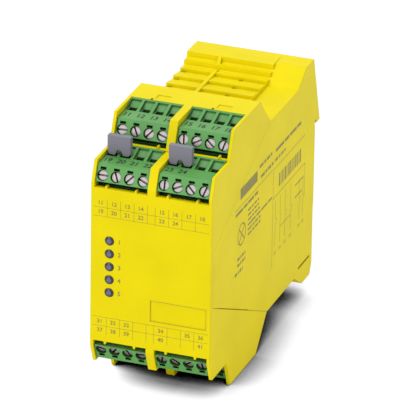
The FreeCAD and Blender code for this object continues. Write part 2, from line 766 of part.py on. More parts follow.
def make_pins(name, seat, side):
    """Four bent pins from a header across to the board on their side."""
    body = new_body(f"pins_{name}", **seat)
    sign = "-" if side < 0 else ""
    lead_top = "-(nose_drop + header_play + header_base + pin_play)"
    outlines = []
    for pole in range(POLES):
        middle = f"{sign}({POLE_PLACES[pole]})"
        low = f"{lead_top} - {POLES - 1 - pole}*lead_step - pin_width"
        outlines.append([
            (f"{middle} - ({sign}pin_width/2)", "-pin_top"),
            (f"{middle} - ({sign}pin_width/2)", low),
            (f"{sign}({BOARD_FACE})", low),
            (f"{sign}({BOARD_FACE})", f"{low} + pin_width"),
            (f"{middle} + {sign}pin_width/2", f"{low} + pin_width"),
            (f"{middle} + {sign}pin_width/2", "-pin_top"),
        ])
    pad(body, f"{name}_pins", "XZ_Plane", "pin_width", *outlines, offset="-contact_depth")
    return body


# ------------------------------------------------------------------ insertion bridges
def make_bridge(name, seat):
    """Grey grip with two legs in the first two wire funnels, and its metal fork."""
    grip = new_body(f"bridge_{name}", **seat)
    middle = "-pole_pitch"
    centre = "(wire_hole_front + wire_hole_back)/2"
    edge = "bridge_width/2"
    pad(grip, f"{name}_grip", "XZ_Plane", "bridge_thick", [
        (f"{middle} - {edge}", "bridge_arch - bridge_leg/2"),
        (f"{middle} - {edge} + bridge_leg/3", "bridge_foot"),
        (f"{middle} - {edge} + bridge_leg*1.3", "bridge_foot"),
        (f"{middle} - {edge} + bridge_leg*1.5", "bridge_arch - bridge_leg/3"),
        (f"{middle} - {edge} + bridge_leg*1.8", "bridge_arch"),
        (f"{middle} + {edge} - bridge_leg*1.8", "bridge_arch"),
        (f"{middle} + {edge} - bridge_leg*1.5", "bridge_arch - bridge_leg/3"),
        (f"{middle} + {edge} - bridge_leg*1.3", "bridge_foot"),
        (f"{middle} + {edge} - bridge_leg/3", "bridge_foot"),
        (f"{middle} + {edge}", "bridge_arch - bridge_leg/2"),
        (f"{middle} + {edge}", "bridge_top"),
        (f"{middle} - {edge}", "bridge_top"),
    ], offset=f"-{centre}")
    slot = "(fork_thick/2 + pin_play)"
    pocket(grip, f"{name}_slot", "YZ_Plane", "pole_pitch + fork_width + 2*pin_play",
           rectangle(f"{centre} - {slot}", "-1", f"{centre} + {slot}", "fork_bar + pin_play"),
           offset=middle)
    fork = new_body(f"fork_{name}", **seat)
    half = "(pole_pitch + fork_width)/2"
    pad(fork, f"{name}_fork", "XZ_Plane", "fork_thick", [
        (f"{middle} - {half}", "-fork_reach"),
        (f"{middle} - {half} + fork_width", "-fork_reach"),
        (f"{middle} - {half} + fork_width", "fork_bar - fork_width"),
        (f"{middle} + {half} - fork_width", "fork_bar - fork_width"),
        (f"{middle} + {half} - fork_width", "-fork_reach"),
        (f"{middle} + {half}", "-fork_reach"),
        (f"{middle} + {half}", "fork_bar"),
        (f"{middle} - {half}", "fork_bar"),
    ], offset=f"-{centre}")
    return grip, fork


# ------------------------------------------------------------------ boards and what they carry
LAMP_BOARD_BACK = "lamp_board_depth + board_thick"


def make_main_board(name, side):
    """Circuit board along one flank, cut to follow the headers' steps."""
    body = new_body(name)
    reach_one = f"{CELL_FLOOR} - board_gap"
    reach_two = f"{SECOND_CELL_FLOOR} - board_gap"
    reach_deck = "deck_half - shell_wall - board_gap"
    step = "second_face_depth + shell_wall + board_gap"
    ledge = "ledge_depth + shell_wall + board_gap"
    outline = [
        (f"{LAMP_BOARD_BACK} + board_gap", reach_one),
        (step, reach_one),
        (step, reach_two),
        (ledge, reach_two),
        (ledge, reach_deck),
        ("board_back", reach_deck),
    ]
    offset = f"({BOARD_IN}) + board_thick/2"
    pad(body, f"{name}_sheet", "YZ_Plane", "board_thick", both_halves(outline),
        offset=f"-({offset})" if side < 0 else offset)
    return body


def make_lamp_board():
    """Small board behind the face that carries the status lamps."""
    body = new_body("lamp_board")
    pad(body, "lamp_sheet", "XZ_Plane", "board_thick",
        rectangle(f"-({BOARD_IN}) - board_thick", "-lamp_board_half",
                  f"({BOARD_IN}) + board_thick", "lamp_board_half"),
        offset="-lamp_board_depth", symmetric=False, reverse=True)
    return body


def make_lamps():
    """Status lamps on their board, and the dark lenses in the face over them."""
    lamps = new_body("status_lamps")
    first = "lamp_middle - 2*lamp_pitch"
    chip = pad(lamps, "lamp_chip", "XZ_Plane", "lamp_height",
               rectangle("lamp_across - lamp_width/2", f"{first} - lamp_width/3",
                         "lamp_across + lamp_width/2", f"{first} + lamp_width/3"),
               offset="-lamp_board_depth", symmetric=False)
    repeat(lamps, [chip], "Z_Axis", "4*lamp_pitch", 5)
    lenses = new_body("status_lenses")
    rim = "lamp_hole/2 - lamp_play"
    revolve(lenses, "lens", "lamp_across", first, [
        ("0", "-lamp_dome"),
        ("lamp_hole/4", "-lamp_dome*0.8"),
        (rim, "0"),
        (rim, "front_wall"),
        ("lamp_flange/2", "front_wall"),
        ("lamp_flange/2", "front_wall + lamp_flange_thick"),
        ("0", "front_wall + lamp_flange_thick"),
    ])
    return lamps, lenses


def revolve(body, name, across, height, profile):
    """Turned piece about a line into the module: profile gives radius and depth."""
    sketch = new_sketch(body, f"{name}_profile", "XY_Plane", height)
    draw_polygon(sketch, [(f"{across} + {radius}", depth) for radius, depth in profile])
    draw_axis(sketch, (across, "-1"), (across, "lamp_board_depth"))
    turned = body.newObject("PartDesign::Revolution", f"{name}_turned")
    turned.Profile = sketch
    turned.ReferenceAxis = (sketch, ["Axis0"])
    turned.Angle = 360
    body.Tip = turned
    repeat(body, [turned], "Z_Axis", "4*lamp_pitch", 5)


def make_relay(name, side, up):
    """Sealed safety relay lying on its board."""
    body = new_body(name)
    inner = f"({BOARD_IN}) - relay_side"
    sign = "-" if side < 0 else ""
    middle = f"{up}*relay_spacing/2"
    pad(body, f"{name}_case", "XZ_Plane", "relay_length",
        rectangle(f"{sign}({inner})", f"{middle} - relay_side/2", f"{sign}({BOARD_IN})",
                  f"{middle} + relay_side/2"),
        offset="-relay_front", symmetric=False, reverse=True)
    return body


def make_capacitors():
    """A round capacitor on each board, above the relays."""
    body = new_body("capacitors")
    height = "relay_spacing/2 + relay_side/2 + capacitor_width/2 + board_gap"
    for side in (-1, 1):
        sign = "-" if side < 0 else ""
        cylinder = new_sketch(body, f"capacitor_{side + 1}", "YZ_Plane", f"{sign}({BOARD_IN})")
        draw_circle(cylinder, "capacitor_depth", height, "capacitor_width")
        extrude(body, "Pad", cylinder, "capacitor_length", reverse=side > 0)
    return body


# ------------------------------------------------------------------ rail foot
FOOT_BACK = "seat_depth - foot_play/2"


def make_foot():
    """Sliding latch: a plate in the back wall, wings behind it, a nose and a pull end."""
    body = new_body("din_foot")
    top = "-(rail_half - channel_rise + foot_play)"
    low = "-(brow_half + foot_tail)"
    front = "seat_depth - shell_wall"
    pad(body, "foot_plate_sheet", "XZ_Plane", "shell_wall - foot_play/2",
        rectangle("-foot_width/2", low, "foot_width/2", "-(rail_half + foot_play)"),
        offset=f"-({front})", symmetric=False, reverse=True)
    pad(body, "foot_wings", "XZ_Plane", "foot_plate",
        rectangle("-foot_width/2 - foot_wing", low, "foot_width/2 + foot_wing", top),
        offset=f"-({front} - foot_play/2)", symmetric=False)
    nose_back = "seat_depth + rail_flange + rail_play"
    pad(body, "foot_nose", "YZ_Plane", "foot_width", [
        (f"{front} - foot_play", "-(rail_half + foot_play) - foot_nose_height"),
        (f"{nose_back} + foot_nose_height/2", "-(rail_half + foot_play) - foot_nose_height"),
        (f"{nose_back} + foot_nose_height", "-(rail_half + foot_play)"),
        (nose_back, "-(rail_half - foot_bite)"),
        (nose_back, "-(rail_half + foot_play)"),
        (f"{front} - foot_play", "-(rail_half + foot_play)"),
    ])
    shelf_top = "-(brow_half - shell_wall) + spring_gap*2 + spring_height + spring_shelf"
    pad(body, "foot_shelf", "YZ_Plane", "spring_width + 2*spring_wire", [
        (f"{front} - foot_plate", shelf_top),
        (f"{front} - foot_plate - spring_width - spring_wire*2", f"{shelf_top} - spring_shelf/2"),
        (f"{front} - foot_plate - spring_width - spring_wire*2", f"{shelf_top} - spring_shelf"),
        (f"{front} - foot_plate", f"{shelf_top} - spring_shelf"),
    ])
    pocket(body, "pull_hole", "XZ_Plane", FAR,
           rectangle("-foot_width/4", f"{low} + 1.2", "foot_width/4", f"{low} + 1.2 + foot_tail/2"))
    return body


def make_foot_spring():
    """Flat-wound wire spring that holds the foot up against the rail."""
    pitch = (worth("spring_height") - worth("spring_wire")) / worth("spring_turns")
    radius = (worth("spring_width") - worth("spring_wire")) / 2
    helix = Part.makeHelix(pitch, pitch * worth("spring_turns"), radius)
    half = worth("spring_wire") / 2
    corners = [Vector(radius + across * half, 0, up * half)
               for across, up in ((-1, -1), (1, -1), (1, 1), (-1, 1), (-1, -1))]
    coil = Part.Wire(helix.Edges).makePipeShell([Part.makePolygon(corners)], True, True)
    spring = doc.addObject("Part::Feature", "foot_spring")
    spring.Label = "foot_spring"
    spring.Shape = coil
    depth = (worth("seat_depth") - worth("shell_wall") - worth("foot_plate")
             - worth("spring_wire") - worth("spring_width") / 2)
    floor = -worth("brow_half") + worth("shell_wall") + worth("spring_gap")
    spring.Placement = FreeCAD.Placement(
        Vector(0, depth - worth("seat_depth"), floor + worth("spring_wire") / 2), FreeCAD.Rotation())
    NODES.append(spring)
    return spring


# ------------------------------------------------------------------ the module
make_front_housing()
make_rear_housing()
for number, (name, seat, side) in enumerate(plug_seats()):
    make_plug(name, seat)
    make_screws(name, seat, number)
    make_clamps(name, seat)
    make_header(name, seat)
    make_pins(name, seat, side)
    if name.startswith("top_front"):
        make_bridge(name.replace("top_front_", ""), seat)
make_main_board("main_board_left", -1)
make_main_board("main_board_right", 1)
make_lamp_board()
make_lamps()
for hand, side in (("left", -1), ("right", 1)):
    make_relay(f"relay_upper_{hand}", side, 1)
    make_relay(f"relay_lower_{hand}", side, -1)
make_capacitors()
make_foot()
make_foot_spring()
doc.recompute()

failed = [item.Label for item in doc.Objects if {"Invalid", "Error"} & set(item.State)]
failed += [node.Label for node in NODES if node.Shape.isNull() or not node.Shape.isValid()]
if failed:
    raise SystemExit(f"failed: {failed}")
for node in NODES:
    node.Shape.exportStep(f"parts/{node.Label}.step")
print(len(NODES), "nodes,", sum(len(node.Shape.Solids) for node in NODES), "solids")
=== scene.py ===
# %% [markdown]
# Safety relay on a 35 mm rail
#
# This lesson dresses a CAD model of a slim yellow control module: eight green plug-in
# terminals, two grey insertion bridges, five status lamps and a sprung rail foot. The solids
# have the right shape already, so Blender adds what solids can't carry: the light, the look
# of each plastic and metal, and the print. Everything is in metres, in the frame of the CAD
# model: its origin is the middle of the rail seat, Y runs into the rail and Z is up.

# %% Load the frame
import json
import math

import bmesh
import bpy
from mathutils import Matrix, Vector


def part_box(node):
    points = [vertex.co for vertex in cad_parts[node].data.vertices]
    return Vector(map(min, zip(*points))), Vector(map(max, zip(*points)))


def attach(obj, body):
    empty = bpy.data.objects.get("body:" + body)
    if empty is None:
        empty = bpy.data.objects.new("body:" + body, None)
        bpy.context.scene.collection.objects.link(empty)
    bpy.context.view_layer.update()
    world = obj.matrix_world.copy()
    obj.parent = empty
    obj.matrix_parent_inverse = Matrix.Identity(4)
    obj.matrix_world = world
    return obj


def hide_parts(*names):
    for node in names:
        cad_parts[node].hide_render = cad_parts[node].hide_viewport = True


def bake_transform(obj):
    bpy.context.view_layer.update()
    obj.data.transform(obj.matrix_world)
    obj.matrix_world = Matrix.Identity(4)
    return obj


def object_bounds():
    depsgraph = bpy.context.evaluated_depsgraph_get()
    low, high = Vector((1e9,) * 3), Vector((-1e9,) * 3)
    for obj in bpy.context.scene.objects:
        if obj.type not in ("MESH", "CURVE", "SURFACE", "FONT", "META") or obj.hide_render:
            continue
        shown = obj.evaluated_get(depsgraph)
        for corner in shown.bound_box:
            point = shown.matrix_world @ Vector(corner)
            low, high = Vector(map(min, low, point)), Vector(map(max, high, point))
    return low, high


MM = 0.001
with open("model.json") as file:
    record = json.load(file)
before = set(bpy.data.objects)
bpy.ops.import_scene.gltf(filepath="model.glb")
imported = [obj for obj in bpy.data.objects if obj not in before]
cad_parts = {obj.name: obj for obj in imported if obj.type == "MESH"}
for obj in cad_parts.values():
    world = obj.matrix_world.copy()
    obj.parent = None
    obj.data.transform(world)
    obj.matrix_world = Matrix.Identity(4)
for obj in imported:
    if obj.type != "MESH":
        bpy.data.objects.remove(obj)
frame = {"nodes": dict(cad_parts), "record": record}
nodes = frame["nodes"]
cad_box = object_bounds()
print("nodes:", len(nodes))
print("box in mm:", [[round(value / MM, 2) for value in corner] for corner in cad_box])

# %% [markdown]
# The module is seen from the front, a little from the right and from above. The camera
# stands 2.3 m away with a very long lens, because that keeps the edges of a small part
# nearly parallel. It could be aimed at a target with a Track To constraint. Plain angles are
# used here, as they give the small roll too. A new camera looks straight down, so it is
# tilted up first and then turned about the vertical.

# %% Camera
AZIMUTH = math.radians(19.78)
ELEVATION = math.radians(24.46)
ROLL = math.radians(0.92)
CAMERA_PLACE = Vector((0.6920, -1.9795, 0.9340))
FOCAL_LENGTH = 554.1
SENSOR_WIDTH = 36
CLIP_NEAR = 0.1
CLIP_FAR = 20

camera_data = bpy.data.cameras.new("studio_camera")
camera_data.sensor_width = SENSOR_WIDTH
camera_data.lens = FOCAL_LENGTH
camera_data.clip_start = CLIP_NEAR
camera_data.clip_end = CLIP_FAR
camera = bpy.data.objects.new("studio_camera", camera_data)
bpy.context.collection.objects.link(camera)
aim = Matrix.Rotation(AZIMUTH, 4, "Z") @ Matrix.Rotation(math.pi / 2 - ELEVATION, 4, "X")
camera.matrix_world = Matrix.Translation(CAMERA_PLACE) @ aim @ Matrix.Rotation(ROLL, 4, "Z")
bpy.context.scene.camera = camera
print("camera", round(CAMERA_PLACE.length, 3), "m away, lens", FOCAL_LENGTH, "mm")

# %% [markdown]
# A moulder orders plastic by a colour sample, and a colour picker shows such a sample as an
# sRGB hex value. Blender mixes light in linear values, so one function turns the one into
# the other, and a second one makes a colour darker or lighter, for patches and flow marks.

# %% Colours
def linear(code):
    """Linear RGBA of an sRGB hex value."""
    parts = [int(code[start:start + 2], 16) / 255 for start in (1, 3, 5)]
    curved = [part / 12.92 if part <= 0.04045 else ((part + 0.055) / 1.055) ** 2.4
              for part in parts]
    return curved + [1.0]


def toned(code, factor, lift=0.0):
    """The linear colour of a hex value, made darker or lighter."""
    return [min(part * factor + lift, 1.0) for part in linear(code)[:3]] + [1.0]


YELLOW = "#F2DF08"
WHITE = linear("#FFFFFF")
print("casing yellow in linear values:", [round(part, 3) for part in linear(YELLOW)[:3]])

# %% [markdown]
# A material is a small network of nodes. Nodes could be wired by hand in the editor, but
# the module has more than a dozen materials with much in common, so they are written. One
# function adds any node: its settings, its inputs and, for a ramp, its colour stops. A
# second one starts an empty material.

# %% Nodes
def add_node(tree, kind, inputs=(), stops=(), **settings):
    """A node with its settings; an input is a plain value or the output that feeds it."""
    node = tree.nodes.new("ShaderNode" + kind)
    for name, value in settings.items():
        setattr(node, name, value)
    for name, value in dict(inputs).items():
        if isinstance(value, bpy.types.NodeSocket):
            tree.links.new(value, node.inputs[name])
        else:
            node.inputs[name].default_value = value
    for index, (position, colour) in enumerate(stops):
        node.color_ramp.elements[index].position = position
        node.color_ramp.elements[index].color = colour
    return node


def new_material(name):
    """An empty material, its node tree and its output."""
    material = bpy.data.materials.new(name)
    material.use_nodes = True
    tree = material.node_tree
    tree.nodes.clear()
    return material, tree, add_node(tree, "OutputMaterial")


print("materials before the first of this lesson:", len(bpy.data.materials))

# %% [markdown]
# A product is lit in a pale room, where light comes from everywhere and no face is black. A
# panorama of a studio could give that light, but the module is mostly satin plastic, and a
# plain colour does as well. The background has to be white while the light on the module
# stays at a plain level. Light Path tells the two apart: the camera, and rays that a
# surface mirrors or lets through, see white, and all other rays see the softer fill.

# %% Studio room
FILL_COLOUR = "#FAFAFA"
FILL_STRENGTH = 0.77

room = bpy.data.worlds.new("studio_world")
room.use_nodes = True
bpy.context.scene.world = room
tree = room.node_tree
tree.nodes.clear()
path = add_node(tree, "LightPath")
seen = add_node(tree, "Math", {0: path.outputs["Is Camera Ray"], 1: path.outputs["Is Glossy Ray"]},
                operation="MAXIMUM")
seen = add_node(tree, "Math", {0: seen.outputs[0], 1: path.outputs["Is Transmission Ray"]},
                operation="MAXIMUM")
fill = add_node(tree, "Background", {"Color": linear(FILL_COLOUR), "Strength": FILL_STRENGTH})
backdrop = add_node(tree, "Background", {"Color": WHITE, "Strength": 1.0})
mix = add_node(tree, "MixShader", {"Fac": seen.outputs[0], 1: fill.outputs[0], 2: backdrop.outputs[0]})
add_node(tree, "OutputWorld", {"Surface": mix.outputs[0]})
print("room fill", FILL_STRENGTH)

# %% [markdown]
# The module stands over a sheet of matt white paper, which sends soft light back up under
# it. The camera has to see that sheet as white, but with the module's shadow. A shadow
# catcher would need a second picture laid over white, and stronger lamps would bleach the
# yellow. So the sheet glows for the camera alone, and less where the module covers the sky:
# Ambient Occlusion measures that over 30 mm, leaning towards the lamps.

# %% Paper floor
PAPER_COLOUR = "#F4F4F4"
PAPER_DROP = 0.3 * MM
PAPER_REACH = 4.0
SHADOW_REACH = 30 * MM
TOWARDS_LAMPS = {"X": -0.40, "Y": -0.42, "Z": 0.81}
BLACK_BELOW = 0.33
WHITE_ABOVE = 0.62
PAPER_GLOW = 1.02

floor_height = cad_box[0][2] - PAPER_DROP
floor_mesh = bpy.data.meshes.new("studio_floor")
floor_mesh.from_pydata([(x * PAPER_REACH, y * PAPER_REACH, floor_height)
                        for x, y in ((-1, -1), (1, -1), (1, 1), (-1, 1))], [], [(0, 1, 2, 3)])
floor = bpy.data.objects.new("studio_floor", floor_mesh)
bpy.context.collection.objects.link(floor)

paper, tree, output = new_material("matt_white_paper")
path = add_node(tree, "LightPath")
sheet = add_node(tree, "BsdfDiffuse", {"Color": linear(PAPER_COLOUR)})
leaning = add_node(tree, "CombineXYZ", TOWARDS_LAMPS)
open_sky = add_node(tree, "AmbientOcclusion",
                    {"Distance": SHADOW_REACH, "Normal": leaning.outputs[0]}, samples=32)
shadow = add_node(tree, "MapRange", {"Value": open_sky.outputs["AO"], "From Min": BLACK_BELOW,
                                     "From Max": WHITE_ABOVE, "To Max": PAPER_GLOW})
glow = add_node(tree, "Emission", {"Color": WHITE, "Strength": shadow.outputs[0]})
mix = add_node(tree, "MixShader", {"Fac": path.outputs["Is Camera Ray"], 1: sheet.outputs[0],
                                   2: glow.outputs[0]})
tree.links.new(mix.outputs[0], output.inputs["Surface"])
floor_mesh.materials.append(paper)
print("floor at", round(floor_height / MM, 2), "mm")

# %% [markdown]
# Two square softboxes give the module its form: one overhead for its decks, and one in
# front and to the left, which keeps the face brighter than the flank. Point lamps or a sun
# would draw hard shadows in the plug cells. A softbox of 0.9 m is large beside a module of
# 0.1 m, so shadows are soft and highlights broad.

# %% Softboxes
SOFTBOX_SIZE = 0.9
SOFTBOXES = {"overhead_softbox": ((-0.25, -0.15, 1.3), 5.2),
             "front_softbox": ((-0.7, -1.5, 0.8), 4.8)}

for name, (place, power) in SOFTBOXES.items():
    lamp_data = bpy.data.lights.new(name, "AREA")
    lamp_data.shape = "SQUARE"
    lamp_data.size = SOFTBOX_SIZE
    lamp_data.energy = power
    lamp = bpy.data.objects.new(name, lamp_data)
    lamp.location = place
    lamp.rotation_euler = Vector(place).to_track_quat("Z", "Y").to_euler()
    bpy.context.collection.objects.link(lamp)
print("softboxes:", ", ".join(SOFTBOXES))

# %% [markdown]
# Wire funnels, screw slots and plug cells are narrow and deep, and little light comes back
# out of them. The renderer finds part of that shade, and one helper adds the rest as painted
# shade: it darkens a colour where Ambient Occlusion finds walls closer than a few
# millimetres, so it works on any mesh without a map for each piece.

# %% Shade in recesses
SHUT_IN = 0.25
IN_THE_OPEN = 0.85


def recess_shade(tree, colour, distance_mm, depth):
    """The colour with painted shade: darker where walls closer than the distance shut out the light."""
    open_sky = add_node(tree, "AmbientOcclusion", {"Distance": distance_mm * MM}, samples=8)
    light = add_node(tree, "MapRange", {"Value": open_sky.outputs["AO"], "From Min": SHUT_IN,
                                        "From Max": IN_THE_OPEN, "To Min": 1 - depth, "To Max": 1.0})
    shade = add_node(tree, "Mix", {"Factor": 1.0, 6: colour, 7: light.outputs["Result"]},
                     data_type="RGBA", blend_type="MULTIPLY")
    return shade.outputs[2]


print("full shade where less than", SHUT_IN, "of the sky is open")

# %% [markdown]
# The shells are moulded in polycarbonate and the plugs in polyamide, coloured right through.
# The tool's fine spark finish leaves a satin skin: broad soft highlights and a faint grain.
# That grain is about 0.05 mm, too fine to show, so it is drawn at 0.3 to 0.5 mm. Slow colour
# variation over 18 mm stands for the flow of the melt. A mould's edges are rounded by a
# quarter of a millimetre. Modelled, they would take many faces, so a Bevel node only shades
# them as if they were round.

# %% Moulded plastics
MELT_FLOW_MM = 18
EDGE_ROUND_MM = 0.25
GRAIN_CONTRAST = 0.35
SATIN_SPREAD = 0.05


def moulded_plastic(name, colour, roughness, grain_mm, grain_depth_mm, ior=1.585, tint=0.04,
                    specular=0.06, recess_shade_mm=2.0, recess_shade_depth=0.25):
    """A plastic moulded in one colour: melt variation, satin grain, softened edges and painted shade in
    recesses.
    """
    material, tree, output = new_material(name)
    place = add_node(tree, "TexCoord").outputs["Object"]
    flow = add_node(tree, "TexNoise", {"Vector": place, "Scale": 1 / (MELT_FLOW_MM * MM), "Detail": 3.0})
    melt = add_node(tree, "ValToRGB", {"Fac": flow.outputs["Fac"]},
                    stops=[(0.3, toned(colour, 1 - tint)), (0.7, toned(colour, 1 + tint))])
    grain = add_node(tree, "TexNoise", {"Vector": place, "Scale": 1 / (grain_mm * MM), "Detail": 2.0})
    satin = add_node(tree, "MapRange", {"Value": grain.outputs["Fac"],
                                        "To Min": roughness - SATIN_SPREAD,
                                        "To Max": roughness + SATIN_SPREAD})
    edge = add_node(tree, "Bevel", {"Radius": EDGE_ROUND_MM * MM}, samples=6)
    bump = add_node(tree, "Bump", {"Height": grain.outputs["Fac"], "Strength": GRAIN_CONTRAST,
                                   "Distance": grain_depth_mm * MM, "Normal": edge.outputs[0]})
    # The base colour carries painted shade, darker where walls stand close.
    shader = add_node(tree, "BsdfPrincipled", {
        "Base Color": recess_shade(tree, melt.outputs["Color"], recess_shade_mm, recess_shade_depth),
        "Roughness": satin.outputs["Result"], "IOR": ior,
        "Specular IOR Level": specular, "Normal": bump.outputs[0]})
    tree.links.new(shader.outputs[0], output.inputs["Surface"])
    return material


FINISHES = {
    # An even, clear yellow with almost no shine: light spreads in it and comes back coloured.
    "casing_yellow": moulded_plastic("moulded_yellow_polycarbonate", YELLOW, roughness=0.42,
                                     grain_mm=0.35, grain_depth_mm=0.02),
    # A waxy green with a soft shine, and painted shade that makes it nearly black at the bottom of its
    # funnels.
    "terminal_green": moulded_plastic("moulded_green_polyamide", "#5DA351", roughness=0.36,
                                      grain_mm=0.3, grain_depth_mm=0.02, ior=1.53, tint=0.08,
                                      specular=0.35, recess_shade_mm=5.0, recess_shade_depth=0.85),
    # A dull grey with a touch of violet, for the flat grips of the bridges.
    "grip_grey": moulded_plastic("moulded_grey_polyamide", "#8F8C9A", roughness=0.45,
                                 grain_mm=0.3, grain_depth_mm=0.02, ior=1.53),
    # Nearly black: only its soft shine shows the form of the foot.
    "foot_black": moulded_plastic("moulded_black_polyamide", "#1C1C1E", roughness=0.40,
                                  grain_mm=0.3, grain_depth_mm=0.02, ior=1.53),
    # A smooth warm ivory, the colour of many relay caps.
    "relay_case": moulded_plastic("moulded_ivory_polyester", "#E0DCCB", roughness=0.25,
                                  grain_mm=0.5, grain_depth_mm=0.01, ior=1.57),
}
print("plastics:", ", ".join(material.name for material in FINISHES.values()))

# %% [markdown]
# Screws, clamps, pins, forks and the spring are small turned, stamped or wound metal parts.
# A metal gets its look from what it mirrors, so these are fully metallic. Plating is
# slightly cloudy, in patches of about half a millimetre. One even roughness would be
# simpler, but heads that are all alike look like grey plastic. In a screw slot or a clamp
# chamber there is little but dark walls to mirror, and painted shade takes the metal's
# colour nearly black there as well.

# %% Plated metals
PLATING_DARKEST = 0.8
PLATING_BUMP_MM = 0.02
PLATING_CONTRAST = 0.3
# How far the roughness of the best and the worst spots lies from the metal's own.
SHARPER = 0.08
DULLER = 0.10
# Painted shade in slots and chambers: how far it reaches and how dark it gets.
METAL_RECESS_SHADE_MM = 3.5
METAL_RECESS_SHADE_DEPTH = 0.95


def plated_metal(name, colour, roughness, patch_mm):
    """A plated metal: cloudy patches in its colour, its shine and, slightly, its surface, and painted
    shade in its recesses.
    """
    material, tree, output = new_material(name)
    place = add_node(tree, "TexCoord").outputs["Object"]
    cloud = add_node(tree, "TexNoise", {"Vector": place, "Scale": 1 / (patch_mm * MM), "Detail": 4.0})
    plating = add_node(tree, "ValToRGB", {"Fac": cloud.outputs["Fac"]},
                       stops=[(0.25, toned(colour, PLATING_DARKEST)), (0.75, linear(colour))])
    shine = add_node(tree, "MapRange", {"Value": cloud.outputs["Fac"], "To Min": roughness - SHARPER,
                                        "To Max": roughness + DULLER})
    bump = add_node(tree, "Bump", {"Height": cloud.outputs["Fac"], "Strength": PLATING_CONTRAST,
                                   "Distance": PLATING_BUMP_MM * MM})
    shader = add_node(tree, "BsdfPrincipled", {
        "Base Color": recess_shade(tree, plating.outputs["Color"], METAL_RECESS_SHADE_MM, METAL_RECESS_SHADE_DEPTH),
        "Roughness": shine.outputs["Result"], "Metallic": 1.0, "Normal": bump.outputs[0]})
    tree.links.new(shader.outputs[0], output.inputs["Surface"])
    return material


METALS = {
    # Light grey screw heads and forks, with a blurred mirror image.
    "zinc_steel": plated_metal("zinc_plated_steel", "#AAA4A2", roughness=0.30, patch_mm=0.6),
    # A warm, slightly yellow white on the clamp cages.
    "nickel_brass": plated_metal("nickel_plated_brass", "#C9BFA8", roughness=0.28, patch_mm=0.6),
    # Pale and milky, as tin is, on the pins of the headers.
    "tinned_brass": plated_metal("tinned_brass", "#D5D3CE", roughness=0.35, patch_mm=0.6),
    # Bare drawn wire: grey, with finer patches than plating has.
    "spring_steel": plated_metal("drawn_spring_steel", "#A9A9AC", roughness=0.32, patch_mm=0.4),
}
FINISHES.update(METALS)
print("metals:", ", ".join(material.name for material in METALS.values()))

# %% [markdown]
# Inside are glass-epoxy boards under green solder lacquer, capacitors in a shrunk sleeve
# and lamps cast in resin. Lacquer and sleeve are a clear film over a duller colour, so they
# get a clear coat, which gives the sharp highlight. A low roughness alone would do that too,
# but then the colour below would look polished. The resin is one polished body with no film.

# %% Smooth skins
SKIN_DARKEST = 0.82
COAT_ROUGHNESS = 0.05


def smooth_skin(name, colour, roughness, patch_mm, ior, coat=0.0):
    """A smooth part: a cloudy colour under a lacquer, a sleeve or its own cast skin."""
    material, tree, output = new_material(name)
    place = add_node(tree, "TexCoord").outputs["Object"]
    cloud = add_node(tree, "TexNoise", {"Vector": place, "Scale": 1 / (patch_mm * MM), "Detail": 2.0})
    body = add_node(tree, "ValToRGB", {"Fac": cloud.outputs["Fac"]},
                    stops=[(0.35, toned(colour, SKIN_DARKEST)), (0.65, linear(colour))])
    shader = add_node(tree, "BsdfPrincipled", {
        "Base Color": body.outputs["Color"], "Roughness": roughness, "IOR": ior,
        "Coat Weight": coat, "Coat Roughness": COAT_ROUGHNESS})
    tree.links.new(shader.outputs[0], output.inputs["Surface"])
    return material


SKINS = {
    # Deep green with a wet shine, slightly cloudy as lacquer over a weave is.
    "circuit_board": smooth_skin("lacquered_glass_epoxy", "#2C6B3C", roughness=0.30,
                                 patch_mm=2.5, ior=1.5, coat=0.4),
    # Blue-black, with the long highlight of shrunk film.
    "capacitor_can": smooth_skin("sleeved_aluminium", "#33343F", roughness=0.28,
                                 patch_mm=4.0, ior=1.5, coat=0.3),
    # Pale and greenish, as an unlit lamp is.
    "lamp_resin": smooth_skin("cast_epoxy_resin", "#B9C2A8", roughness=0.15, patch_mm=1.0, ior=1.5),
}
FINISHES.update(SKINS)
print("smooth skins:", ", ".join(material.name for material in SKINS.values()))

# %% [markdown]
# Each status lamp has a domed lens of smoke tinted acrylic over it. Real smoke acrylic is
# clear, and looks dark at the rim, where one looks through more of it, and paler on the
# crown. Clear plastic over a dark lamp chamber shows little else and is slow to render, so
# the lens is solid, and that look is painted light: its colour follows how squarely its
# surface faces the front, with painted shade at the rim and a painted highlight on the crown.

# %% Lenses
FACES_FRONT = -1.0
TURNED_AWAY = -0.94


def domed_lens(name, painted_shade_rim_colour, painted_highlight_crown_colour):
    """Tinted acrylic with painted light: painted shade where the dome turns away from the front, a
    painted highlight on its crown.
    """
    material, tree, output = new_material(name)
    normal = add_node(tree, "SeparateXYZ", {0: add_node(tree, "NewGeometry").outputs["Normal"]})
    facing = add_node(tree, "MapRange", {"Value": normal.outputs["Y"], "From Min": TURNED_AWAY,
                                         "From Max": FACES_FRONT})
    # Painted light: the tint runs from painted shade at the rim to a painted highlight on the crown.
    tint = add_node(tree, "ValToRGB", {"Fac": facing.outputs["Result"]},
                    stops=[(0.0, linear(painted_shade_rim_colour)), (1.0, linear(painted_highlight_crown_colour))])
    shader = add_node(tree, "BsdfPrincipled", {
        "Base Color": tint.outputs["Color"], "Roughness": 0.18, "IOR": 1.49,
        "Coat Weight": 0.4, "Coat Roughness": COAT_ROUGHNESS})
    tree.links.new(shader.outputs[0], output.inputs["Surface"])
    return material


# A dark violet bead with painted shade at its rim, a painted highlight in its middle and a polished
# skin.
FINISHES["lens_smoke"] = domed_lens("polished_smoke_acrylic", "#1E1E32", "#6A6A90")
print("finishes in all:", len(FINISHES))

# %% [markdown]
# Each solid already has a name for its finish in the frame's record, such as casing_yellow.
# The new material goes into every slot of the solid's mesh. Faces could be given materials
# one by one, but every solid here is one part of one material, as its real one is.

